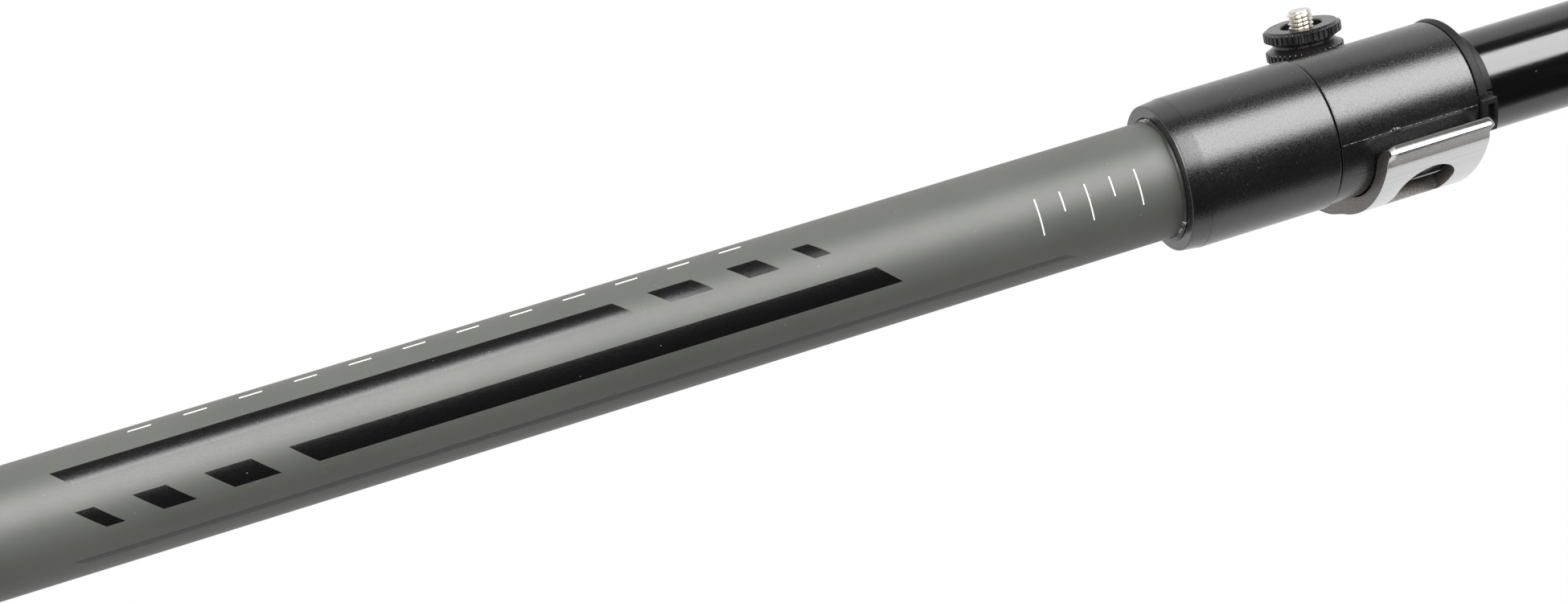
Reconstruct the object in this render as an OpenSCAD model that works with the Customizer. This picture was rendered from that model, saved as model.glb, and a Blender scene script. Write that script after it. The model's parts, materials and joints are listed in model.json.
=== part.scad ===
/* [Tubes] */
// Outside diameter of the outer tube
outer_d = 28; // [24:0.5:32]
// Wall of the outer tube
outer_wall = 1.1; // [1:0.05:1.2]
// Length of the outer tube
outer_len = 990; // [800:10:1400]
// Wall of the inner tube
inner_wall = 1.2; // [1:0.1:1.6]
// Bare inner tube between the clamp and the head at rest
inner_out = 52; // [10:1:300]
// Length of the inner tube
inner_len = 955; // [700:5:1000]

/* [Point] */
// Height of the bare steel point below its ferrule
point_h = 46; // [30:1:60]
// Height of the ferrule's cone
cone_h = 20; // [12:1:30]

/* [Collar and clamp] */
// Length of the fixed collar
collar_len = 36.5; // [30:0.5:50]
// How far the outer tube goes into the collar
tube_in_collar = 22; // [15:1:28]
// Length of the clamp ring
clamp_len = 34.9; // [30:0.1:45]
// Width of the clamp ring's split
split_w = 2.4; // [1:0.1:3]

/* [Lever] */
// Width of the lever along the pole
lever_w = 25.8; // [24:0.1:26]
// Width of the finger window
window_w = 14.5; // [10:0.5:16]
// Angle from the front to the middle of the window's round end
window_at = 48; // [44:1:52]

/* [Bolt and nut] */
// Nominal diameter of the bolt
bolt_d = 6; // [5:1:6]
// Outside diameter of the thumb nut
nut_d = 18.4; // [18:0.1:21]
// Number of teeth on the thumb nut
nut_teeth = 40; // [24:1:48]

/* [Level] */
// Height of the level's bracket above the ground point
level_z = 640; // [400:10:700]
// Distance from the pole's axis to the level's centre
level_out = 44; // [40:1:60]
// Diameter of the level's housing
level_d = 33; // [32:1:40]

/* [Hidden] */
$fn = 96;

// The frame: the ground point's tip is the origin, +Z runs up the pole, -Y is the clamp's front and the
// thumb nut is on the -X side.
eps = 0.01;
glue = 0.05;             // gap filled by adhesive, or left by a light press fit
run = 0.1;               // radial clearance of a sliding fit
outer_r = outer_d / 2;
outer_ir = outer_r - outer_wall;
inner_r = outer_r * 0.875;
inner_ir = inner_r - inner_wall;

point_shank = 20;
point_shank_r = 5;
tube_z = point_h + cone_h + 9;
tube_top = tube_z + outer_len;
collar_z = tube_top - tube_in_collar;

collar_r = outer_r + 4.14;
mouth_r = collar_r - 0.6;
mouth_h = 4.6;
ring_r = collar_r - 0.56;
ring_z = collar_z + collar_len + 0.4;
ring_top = ring_z + clamp_len;
sleeve_r = outer_r;
sleeve_ir = inner_r + run;
sleeve_z = tube_top + 0.3;
flange_z = ring_top + 0.2;
flange_h = 1.9;
flange_r = collar_r - 0.14;
lip_r = sleeve_ir + 0.95;
lip_top = flange_z + 6.2;
slit_at = -4.6;

bolt_r = bolt_d / 2;
bolt_y = outer_r + 5.5;
bolt_z = ring_z + 13.75;
ear_x = 11.7;
ear_cam_x = 14;
ear_y = bolt_y + 5;
pivot_x = ear_cam_x + 5.8;
washer_x = ear_x + 0.1;
nut_x = washer_x + 1;
nut_h = 8.3;
stud_x = nut_x + nut_h + 3.6;
eye_r = 4.4;
pin_r = 2;

lever_top = ring_top - 0.5;
lever_z = lever_top - lever_w;
lever_ir = ring_r + 0.34;
window_z = lever_z + lever_w / 2 - 0.6;

head_z = lip_top + inner_out;
inner_z = head_z - inner_len;
head_top = head_z + 20;
stud_r = 7.94;           // 5/8 inch thread
stud_len = 14;
head_pin_z = head_z - 15;

level_r = level_d / 2;
plate_top = level_z + 3;
base_z = plate_top + 1.5;
base_top = base_z + 15;
vial_r = 11;
vial_z = base_z + 5;
vial_top = base_top - 0.6;
adjust_r = 13.9;
clamp_half_r = outer_r + 5;
lug_y = outer_r + 7;
half_w = 5.2;            // half the width of the clamp's two lugs

module ring(r_out, r_in, h) {
    difference() {
        cylinder(h = h, r = r_out);
        translate([0, 0, -1]) cylinder(h = h + 2, r = r_in);
    }
}

// A direction on the clamp, as an angle from the front (-Y) towards the lever's side (+X)
function at_angle(r, a) = [r * sin(a), -r * cos(a)];

/* ---- lower end ---- */

module steel_point() {
    neck_z = point_h - 11;
    hex_z = neck_z + 2;
    color("silver")
    union() {
        rotate_extrude() polygon([[0, 0], [0.8, 0.3], [7.4, neck_z - 8], [8.2, neck_z - 5], [8.2, neck_z],
            [0, neck_z]]);
        translate([0, 0, neck_z - eps]) cylinder(h = 2 + eps, r = 7);
        // hexagon for a spanner, with turned corners
        translate([0, 0, hex_z - eps]) intersection() {
            cylinder(h = point_h - hex_z + eps, r = 9.2);
            cylinder(h = point_h - hex_z + eps, r = 9.9, $fn = 6);
        }
        translate([0, 0, point_h - eps]) cylinder(h = point_shank, r = point_shank_r);
    }
}

module point_ferrule() {
    spigot_top = tube_z + 60;
    spigot_r = outer_ir - glue;
    color("lightgray")
    difference() {
        rotate_extrude() polygon([[0, point_h], [10, point_h], [10.6, point_h + 0.8], [outer_r - 0.4, tube_z - 9],
            [outer_r, tube_z - 8], [outer_r, tube_z], [spigot_r, tube_z], [spigot_r, spigot_top - 3],
            [outer_ir - 2, spigot_top], [0, spigot_top]]);
        translate([0, 0, point_h - 1]) cylinder(h = point_shank + 4, r = point_shank_r + glue);
        translate([0, 0, point_h + point_shank + 20]) cylinder(h = spigot_top - point_h, r = 8.5);
        ferrule_pin_hole();
    }
}

module ferrule_pin_hole() {
    translate([0, 0, tube_z + 25]) rotate([0, 90, 0]) cylinder(h = 60, r = 1.5 + glue, center = true);
}

module ferrule_pin() {
    color("gray")
    translate([0, 0, tube_z + 25]) rotate([0, 90, 0]) difference() {
        cylinder(h = outer_d - 0.6, r = 1.5, center = true);
        cylinder(h = 60, r = 0.7, center = true);
    }
}

/* ---- tubes ---- */

module outer_tube() {
    color("dimgray")
    difference() {
        translate([0, 0, tube_z]) ring(outer_r, outer_ir, outer_len);
        ferrule_pin_hole();
    }
}

module inner_tube() {
    color([0.08, 0.08, 0.09])
    difference() {
        translate([0, 0, inner_z]) ring(inner_r, inner_ir, inner_len);
        head_pin_hole();
    }
}

module guide_plug() {
    color("white")
    difference() {
        rotate_extrude() polygon([[0, inner_z - 16], [outer_ir - 0.7, inner_z - 16], [outer_ir - run, inner_z - 15.4],
            [outer_ir - run, inner_z - 0.6], [outer_ir - 0.7, inner_z - eps], [inner_ir - glue, inner_z - eps],
            [inner_ir - glue, inner_z + 23], [inner_ir - 1, inner_z + 24], [0, inner_z + 24]]);
        translate([0, 0, inner_z + 2]) cylinder(h = 30, r = inner_ir - 2.5);
        translate([0, 0, inner_z - 17]) cylinder(h = 10, r = 3 + glue);
        // three grooves let the air pass
        for (a = [60, 180, 300]) rotate([0, 0, a])
            translate([outer_ir - 1, -1, inner_z - 17]) cube([2, 2, 18]);
    }
}

module end_buffer() {
    color([0.1, 0.1, 0.1])
    rotate_extrude() polygon([[0, inner_z - 22], [6, inner_z - 22], [7.5, inner_z - 20.5], [8, inner_z - 16.02],
        [3, inner_z - 16.02], [3, inner_z - 8], [0, inner_z - 8]]);
}

/* ---- circular level ---- */

// One half of the tube clamp: side -1 carries the arm, side +1 is the loose half
module clamp_half(side) {
    difference() {
        union() {
            translate([0, 0, level_z - 9]) cylinder(h = 18, r = clamp_half_r);
            translate([-half_w, -lug_y - 5, level_z - 9]) cube([2 * half_w, 2 * lug_y + 10, 18]);
        }
        translate([0, 0, level_z - 10]) cylinder(h = 20, r = outer_r + 1.1);
        translate([side > 0 ? -60 + 0.6 : -0.6, -60, level_z - 10]) cube([60, 120, 20]);
        for (s = [-1, 1]) translate([0, s * lug_y, level_z]) rotate([0, 90, 0]) {
            cylinder(h = 40, r = side > 0 ? 2.2 : 2 + glue, center = true);
            // seat for the screw's head
            translate([0, 0, half_w]) cylinder(h = 10, r = 3.9);
        }
    }
}

module adjuster_places() {
    for (a = [60, 180, 300])
        translate([-level_out + adjust_r * cos(a), adjust_r * sin(a), 0]) children();
}

module level_arm() {
    color([0.12, 0.12, 0.13])
    difference() {
        union() {
            clamp_half(-1);
            translate([-level_out, 0, plate_top - 6]) cylinder(h = 6, r = level_r);
            difference() {
                translate([-level_out, -9, plate_top - 6]) cube([level_out - outer_r - 2, 18, 6]);
                translate([0, 0, level_z - 10]) cylinder(h = 20, r = outer_r + 1.1);
            }
            // gusset under the arm
            translate([-outer_r - 3, 2.5, plate_top - 6 + eps]) rotate([90, 0, 0]) linear_extrude(5)
                polygon([[0, 0], [-16, 0], [0, -6]]);
        }
        adjuster_places() translate([0, 0, level_z - 10]) cylinder(h = 20, r = 1.7);
        // lightening hole under the vial
        translate([-level_out, 0, level_z - 10]) cylinder(h = 20, r = 7);
    }
}

module level_clamp_back() {
    color([0.12, 0.12, 0.13]) clamp_half(1);
}

module level_clamp_liner() {
    color([0.2, 0.2, 0.2])
    difference() {
        translate([0, 0, level_z - 8.5]) ring(outer_r + 1.05, outer_r + glue, 17);
        translate([0, -1, level_z - 10]) cube([40, 2, 20]);
    }
}

module level_clamp_screws() {
    color("silver")
    for (s = [-1, 1]) translate([half_w, s * lug_y, level_z]) rotate([0, 90, 0]) difference() {
        union() {
            translate([0, 0, -10]) cylinder(h = 10 + eps, r = 2);
            cylinder(h = 4, r = 3.5);
        }
        translate([0, 0, 1.8]) cylinder(h = 3, r = 1.73, $fn = 6);
    }
}

module level_base() {
    color([0.75, 0.75, 0.76])
    difference() {
        translate([-level_out, 0, 0]) rotate_extrude() polygon([[0, base_z], [level_r - 0.8, base_z],
            [level_r, base_z + 0.8], [level_r, base_z + 6], [level_r - 1, base_z + 6.6],
            [level_r - 1, base_top - 0.5], [level_r - 1.5, base_top], [0, base_top]]);
        translate([-level_out, 0, base_z - 1]) cylinder(h = 20, r = 8.5);
        translate([-level_out, 0, vial_z]) cylinder(h = 20, r = vial_r + glue);
        translate([-level_out, 0, base_top - 1.6]) cylinder(h = 4, r = vial_r + 1.6);
        adjuster_places() translate([0, 0, base_z - 1]) cylinder(h = 6.6, r = 1.5 + glue);
    }
}

module level_adjusters() {
    color("silver")
    adjuster_places() difference() {
        union() {
            translate([0, 0, plate_top - 8.2]) cylinder(h = 2.1, r = 2.75);
            translate([0, 0, plate_top - 6.2]) cylinder(h = 12.5, r = 1.5);
        }
        translate([0, 0, plate_top - 9]) cylinder(h = 2, r = 1.2, $fn = 6);
    }
}

module vial_shape(r, z, top) {
    dome = 60;
    translate([-level_out, 0, 0]) intersection() {
        translate([0, 0, z]) cylinder(h = 30, r = r);
        translate([0, 0, top - dome]) sphere(r = dome);
    }
}

module bubble_hollow(r) {
    translate([-level_out, 0, vial_top - 2.9]) cylinder(h = 5, r = r);
}

module level_vial() {
    color([0.85, 0.95, 0.9, 0.4])
    difference() {
        vial_shape(vial_r, vial_z + glue, vial_top);
        vial_shape(vial_r - 1.6, vial_z - 1, vial_top - 1.6);
    }
}

module level_liquid() {
    color([0.75, 0.9, 0.2, 0.6])
    difference() {
        vial_shape(vial_r - 1.62, vial_z + glue, vial_top - 1.64);
        bubble_hollow(3.6);
    }
}

module level_bubble() {
    color([0.95, 1, 0.9, 0.5])
    translate([-level_out, 0, vial_top - 2.88]) rotate_extrude() polygon([[0, 0], [3.3, 0], [3.55, 0.25],
        [3.55, 0.85], [3.3, 1.1], [0, 1.1]]);
}

module level_ring() {
    color([0.1, 0.1, 0.1])
    difference() {
        translate([-level_out, 0, base_top - 1.55]) ring(vial_r + 1.55, vial_r - 1.4, 1.55);
        translate([-level_out, 0, vial_top - 59.9]) sphere(r = 60);
    }
}

/* ---- collar and clamp ---- */

module fixed_collar() {
    color([0.1, 0.1, 0.1])
    translate([0, 0, collar_z]) rotate_extrude() polygon([[outer_r + glue, 0.8], [outer_r + 0.8, 0],
        [mouth_r - 0.5, 0], [mouth_r, 0.5], [collar_r - 0.1, mouth_h - 0.6], [collar_r, mouth_h],
        [collar_r, collar_len - 0.3], [collar_r - 0.3, collar_len], [outer_r + glue, collar_len]]);
}

module glue_fillet() {
    color([0.2, 0.18, 0.16])
    translate([0, 0, collar_z]) rotate_extrude() polygon([[outer_r + 0.02, -1.4], [outer_r + 0.35, -1.1],
        [outer_r + 1.1, -0.3], [outer_r + 1.3, -0.02], [outer_r + 0.02, -0.02]]);
}

// The clamp ring's outline with its two ears, before it is bored and split
module ears_outline() {
    corner = 2;
    root_y = 4;
    circle(r = ring_r);
    translate([-ear_x, root_y]) square([ear_x + ear_cam_x, ear_y - root_y - corner]);
    translate([-ear_x + corner, root_y]) square([ear_x + ear_cam_x - 2 * corner, ear_y - root_y]);
    translate([-ear_x + corner, ear_y - corner]) circle(r = corner, $fn = 48);
    translate([ear_cam_x - corner, ear_y - corner]) circle(r = corner, $fn = 48);
}

module clamp_ring() {
    ear_z = ring_z + 4.5;
    ear_h = clamp_len - 8;
    land_r = ring_r - 0.45;
    color([0.1, 0.1, 0.1])
    difference() {
        union() {
            translate([0, 0, ring_z]) rotate_extrude() polygon([[0, 0], [ring_r - 0.3, 0], [ring_r, 0.3],
                [ring_r, clamp_len - 0.3], [ring_r - 0.3, clamp_len], [0, clamp_len]]);
            translate([0, 0, ear_z]) linear_extrude(ear_h) ears_outline();
        }
        translate([0, 0, ring_z - 1]) cylinder(h = clamp_len + 2, r = sleeve_r + 0.1);
        translate([-split_w / 2, 0, ring_z - 1]) cube([split_w, 60, clamp_len + 2]);
        translate([0, bolt_y, bolt_z]) rotate([0, 90, 0]) cylinder(h = 80, r = bolt_r + 0.3, center = true);
        // flat seat for the washer, with room for the nut
        on_bolt(ear_x) cylinder(h = 20, r = nut_d / 2 + 0.3);
        // flat finger land beside the lever's lip
        rotate([0, 0, 15]) translate([-10, -land_r - 10, ring_z + 7.1]) cube([20, 10, clamp_len - 8]);
    }
}

module clamp_sleeve() {
    slit_w = 0.8;
    lug_h = 4;
    color([0.14, 0.13, 0.13])
    difference() {
        union() {
            rotate_extrude() polygon([[sleeve_ir + 0.4, sleeve_z], [sleeve_r - 0.4, sleeve_z],
                [sleeve_r, sleeve_z + 0.4], [sleeve_r, flange_z], [ring_r, flange_z], [flange_r, flange_z + 1.5],
                [flange_r - 0.3, flange_z + flange_h], [lip_r, flange_z + flange_h], [lip_r, lip_top - 0.3],
                [lip_r - 0.3, lip_top], [sleeve_ir, lip_top], [sleeve_ir, sleeve_z + 0.4]]);
            translate([0, 0, flange_z]) linear_extrude(lug_h) intersection() {
                difference() {
                    circle(r = flange_r);
                    circle(r = lip_r - 0.3);
                }
                polygon([[0, 0], at_angle(30, -2.6), at_angle(30, 24)]);
            }
        }
        // slits that let the bush close on the inner tube; the front one also opens the flange
        rotate([0, 0, slit_at]) translate([-slit_w / 2, -30, ring_z + 2]) cube([slit_w, 30, 60]);
        for (a = [90, 180, 270]) rotate([0, 0, a + slit_at])
            translate([-slit_w / 2, -sleeve_r - 1, ring_z + 2]) cube([slit_w, 4, clamp_len - 3]);
        // pocket in the front lug
        rotate([0, 0, 8]) translate([-2, -flange_r - 1, flange_z + 1.6]) cube([4, 2.4, 1.7]);
    }
}

/* ---- lever ---- */

// Outer surface of the lever's plate: closest to the ring at 50 degrees, further out at both ends
function plate_r(a) = lever_ir + 3.1 + 0.00105 * pow(a - 50, 2);

// Working surface of the cam: it eases the bolt by cam_rise while the lever turns through cam_turn
cam_rise = 0.95;
cam_turn = 150;
function cam_r(a) = a > 180 ? 5.65 : 5.65 - cam_rise * (180 - max(a, 180 - cam_turn)) / cam_turn;

module plate_outline() {
    polygon(concat(
        [for (a = [96:-4:20]) at_angle(lever_ir, a)],
        // the lip curls out at the front
        [at_angle(lever_ir + 0.25, 17), at_angle(lever_ir + 1.85, 10), at_angle(lever_ir + 3.55, 5.85),
            at_angle(lever_ir + 4.9, 4.35), at_angle(lever_ir + 5.9, 6), at_angle(lever_ir + 6.5, 7.3),
            at_angle(lever_ir + 6.6, 9), at_angle(lever_ir + 5.15, 13.5), at_angle(lever_ir + 4.2, 17.4)],
        [for (a = [21:4:97]) at_angle(plate_r(a), a)],
        [[pivot_x + 4.6, 8], [pivot_x + 5, 12], [pivot_x + 5, bolt_y], [pivot_x, bolt_y],
            [pivot_x - 0.6, bolt_y - 5.4], [pivot_x - 0.2, bolt_y - 9], [pivot_x - 0.9, 6]]));
}

module knuckle_outline() {
    translate([pivot_x, bolt_y]) polygon(concat(
        [for (a = [30:6:252]) cam_r(a) * [cos(a), sin(a)]], [[0, -5], [5, -5], [5, 0], [4.75, 1.1]]));
}

module lever() {
    wall_cut = 12;
    color([0.8, 0.8, 0.82])
    difference() {
        translate([0, 0, lever_z]) linear_extrude(lever_w) union() {
            plate_outline();
            knuckle_outline();
        }
        // finger window: round at the lip's end, square at the far end
        rotate([0, 0, window_at]) translate([0, -lever_ir + 3, window_z]) rotate([90, 0, 0])
            cylinder(h = wall_cut, d = window_w);
        rotate([0, 0, window_at + 17.4]) translate([-7.3, -lever_ir - 9, window_z - window_w / 2])
            cube([9.4, wall_cut, window_w]);
        // slot for the bolt's eye, and the pin's hole
        translate([pivot_x - 10, bolt_y - 4.9, bolt_z - 3.15]) cube([20, 20, 6.3]);
        translate([pivot_x, bolt_y, lever_z - 1]) cylinder(h = lever_w + 2, r = pin_r + 0.02);
    }
}

module pivot_pin() {
    color("silver")
    translate([pivot_x, bolt_y, lever_z + 0.2]) rotate_extrude() polygon([[0, 0], [pin_r - 0.3, 0],
        [pin_r, 0.3], [pin_r, lever_w - 0.7], [pin_r - 0.3, lever_w - 0.4], [0, lever_w - 0.4]]);
}

module eye_bolt() {
    color([0.72, 0.7, 0.62])
    difference() {
        union() {
            translate([pivot_x, bolt_y, bolt_z - 3]) cylinder(h = 6, r = eye_r);
            translate([0, bolt_y, bolt_z]) rotate([0, -90, 0]) rotate_extrude() polygon([[0, -pivot_x + 2.2],
                [bolt_r - 0.1, -pivot_x + 2.2], [bolt_r - 0.1, -4], [bolt_r, -3.6], [bolt_r, stud_x - 0.8],
                [bolt_r - 0.7, stud_x], [0, stud_x]]);
        }
        translate([pivot_x, bolt_y, bolt_z - 4]) cylinder(h = 8, r = pin_r + 0.05);
    }
}

/* ---- thumb nut ---- */

module on_bolt(x) {
    translate([-x, bolt_y, bolt_z]) rotate([0, -90, 0]) children();
}

module thrust_washer() {
    color("silver")
    on_bolt(washer_x) ring(8, bolt_r + 0.2, nut_x - washer_x - 0.05);
}

module knurled_disc(h) {
    tooth = 0.35;
    linear_extrude(h) polygon([for (i = [0:4 * nut_teeth - 1])
        let (a = 90 * i / nut_teeth, r = nut_d / 2 - (i % 4 < 2 ? 0 : tooth)) r * [cos(a), sin(a)]]);
}

module thumb_nut() {
    waist_r = nut_d / 2 - 1.9;
    root_r = nut_d / 2 - 0.4;
    disc_h = 2.1;
    low_z = 0.7;
    high_z = nut_h - 0.6 - disc_h;
    dish_r = 4.9;
    color([0.08, 0.08, 0.08])
    on_bolt(nut_x) difference() {
        union() {
            rotate_extrude() polygon([[0, 0], [root_r - 0.7, 0], [root_r, low_z], [root_r, low_z + disc_h],
                [waist_r, 4], [waist_r, 4.5], [root_r, high_z], [root_r, nut_h - 0.4], [root_r - 0.6, nut_h],
                [0, nut_h]]);
            translate([0, 0, low_z]) knurled_disc(disc_h);
            translate([0, 0, high_z]) knurled_disc(disc_h);
        }
        translate([0, 0, -1]) cylinder(h = nut_h + 2, r = bolt_r + glue);
        translate([0, 0, nut_h - 1.4]) cylinder(h = 3, r = dish_r);
    }
}

/* ---- upper end ---- */

module head_pin_hole() {
    translate([0, 0, head_pin_z]) rotate([0, 90, 0]) cylinder(h = 60, r = 1.5 + glue, center = true);
}

module head_ferrule() {
    color("lightgray")
    difference() {
        translate([0, 0, head_z]) rotate_extrude() polygon([[0, -32], [inner_ir - 1, -32], [inner_ir - glue, -31],
            [inner_ir - glue, 0.02], [inner_r - 0.4, 0.02], [inner_r, 0.4], [inner_r, 3], [outer_r - 0.6, 5],
            [outer_r, 5.8], [outer_r, 15.5], [outer_r - 4, 20], [0, 20]]);
        translate([0, 0, head_top - 15.5]) cylinder(h = 16, r = 6 + glue);
        translate([0, 0, head_z - 33]) cylinder(h = 31, r = inner_ir - 3);
        head_pin_hole();
    }
}

module head_pin() {
    color("gray")
    translate([0, 0, head_pin_z]) rotate([0, 90, 0]) difference() {
        cylinder(h = 2 * inner_r - 0.6, r = 1.5, center = true);
        cylinder(h = 60, r = 0.7, center = true);
    }
}

module head_stud() {
    color("silver")
    translate([0, 0, head_top]) rotate_extrude() polygon([[0, -15], [5.6, -15], [6, -14.6], [6, 0.02],
        [stud_r - 1.2, 0.02], [stud_r - 1.2, 1.5], [stud_r, 2.5], [stud_r, stud_len - 1.2],
        [stud_r - 1.2, stud_len], [0, stud_len]]);
}

steel_point();
point_ferrule();
ferrule_pin();
outer_tube();
level_arm();
level_clamp_back();
level_clamp_liner();
level_clamp_screws();
level_base();
level_adjusters();
level_vial();
level_liquid();
level_bubble();
level_ring();
fixed_collar();
glue_fillet();
clamp_ring();
clamp_sleeve();
lever();
pivot_pin();
eye_bolt();
thrust_washer();
thumb_nut();
inner_tube();
guide_plug();
end_buffer();
head_ferrule();
head_pin();
head_stud();
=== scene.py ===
import json
import math

import bmesh
import bpy
from mathutils import Matrix, Vector, noise


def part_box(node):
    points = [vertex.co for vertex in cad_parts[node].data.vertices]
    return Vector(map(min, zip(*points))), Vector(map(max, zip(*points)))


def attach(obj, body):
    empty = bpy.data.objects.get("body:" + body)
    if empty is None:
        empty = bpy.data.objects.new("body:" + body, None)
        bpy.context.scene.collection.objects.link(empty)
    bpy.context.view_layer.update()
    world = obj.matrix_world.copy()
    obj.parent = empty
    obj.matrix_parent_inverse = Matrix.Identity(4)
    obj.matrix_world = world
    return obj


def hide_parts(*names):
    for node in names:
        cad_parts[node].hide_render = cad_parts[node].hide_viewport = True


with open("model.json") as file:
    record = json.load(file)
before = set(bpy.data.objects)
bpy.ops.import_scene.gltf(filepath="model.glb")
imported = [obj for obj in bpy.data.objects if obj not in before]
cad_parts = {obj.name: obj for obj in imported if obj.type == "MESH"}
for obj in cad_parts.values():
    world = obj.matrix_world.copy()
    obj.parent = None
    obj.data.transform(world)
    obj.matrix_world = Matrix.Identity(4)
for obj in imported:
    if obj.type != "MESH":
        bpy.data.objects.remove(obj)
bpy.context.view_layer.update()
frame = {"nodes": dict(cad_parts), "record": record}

scene = bpy.context.scene
MM = 0.001

# ---------------------------------------------------------------- sizes in mm, worked out from the frame


def mm_box(node):
    low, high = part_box(node)
    return low / MM, high / MM


tube_low, tube_high = mm_box("outer_tube")
inner_low, inner_high = mm_box("inner_tube")
collar_low, collar_high = mm_box("fixed_collar")
ring_low, ring_high = mm_box("clamp_ring")
sleeve_low, sleeve_high = mm_box("clamp_sleeve")
lever_low, lever_high = mm_box("lever")
pivot_low, pivot_high = mm_box("pivot_pin")
bolt_low, bolt_high = mm_box("eye_bolt")
washer_low, washer_high = mm_box("thrust_washer")
nut_low, nut_high = mm_box("thumb_nut")
stud_low, stud_high = mm_box("head_stud")

OUTER_WALL, INNER_WALL = 1.1, 1.2
OUTER_R = tube_high.x
OUTER_BORE = OUTER_R - OUTER_WALL
INNER_R = inner_high.x
INNER_BORE = INNER_R - INNER_WALL
COLLAR_Z = collar_low.z
COLLAR_TOP = collar_high.z
COLLAR_R = collar_high.x
GLUE_TOP = mm_box("glue_fillet")[1].z
RING_Z = ring_low.z
RING_TOP = ring_high.z
RING_R = -ring_low.x
FLANGE_GAP, BUSH_PLAY, LEVER_GAP = 0.2, 0.1, 0.34
FLANGE_Z = RING_TOP + FLANGE_GAP
FLANGE_R = sleeve_high.x
LIP_TOP = sleeve_high.z
SLEEVE_BORE = INNER_R + BUSH_PLAY
LEVER_IR = RING_R + LEVER_GAP
LEVER_Z, LEVER_TOP = lever_low.z, lever_high.z
PIVOT = (pivot_low + pivot_high) / 2
BOLT_Y, BOLT_Z = PIVOT.y, (bolt_low.z + bolt_high.z) / 2
STUD_TIP = -bolt_low.x
NUT_R = (nut_high.y - nut_low.y) / 2
NUT_X = -nut_high.x
NUT_H = nut_high.x - nut_low.x
WINDOW_DROP = 0.6
WINDOW_Z = (LEVER_Z + LEVER_TOP) / 2 - WINDOW_DROP
EYE_R = bolt_high.x - PIVOT.x

# In degrees from the front (-Y) towards the lever's side (+X). The lip's two ways pick the lip faces that get
# painted shade.
WINDOW_ROUND_END, WINDOW_SQUARE_END = 48, 65.4
LIP_FRONT_FACES, LIP_BACK_FACES = 48, -53


def at_angle(r, degrees):
    """A point at radius r, and at an angle from the front (-Y) towards the lever's side (+X)."""
    return (r * math.sin(math.radians(degrees)), -r * math.cos(math.radians(degrees)))


# ---------------------------------------------------------------- camera

SENSOR_WIDTH, LENS = 36, 37.294154
CAMERA_AT = Vector((-108.79, -349.30, COLLAR_Z - 136.08))
CAMERA_FORWARD = Vector((0.29970, 0.94670, 0.11807))
CAMERA_UP = Vector((-0.92186, 0.25549, 0.29138))


def make_camera():
    data = bpy.data.cameras.new("camera")
    data.sensor_width, data.lens = SENSOR_WIDTH, LENS
    data.clip_start, data.clip_end = 0.01, 30
    camera = bpy.data.objects.new("camera", data)
    forward = CAMERA_FORWARD.normalized()
    right = forward.cross(CAMERA_UP).normalized()
    turn = Matrix((right, right.cross(forward), -forward)).transposed()
    camera.matrix_world = Matrix.Translation(CAMERA_AT * MM) @ turn.to_4x4()
    scene.collection.objects.link(camera)
    scene.camera = camera


# ---------------------------------------------------------------- node helpers


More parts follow.
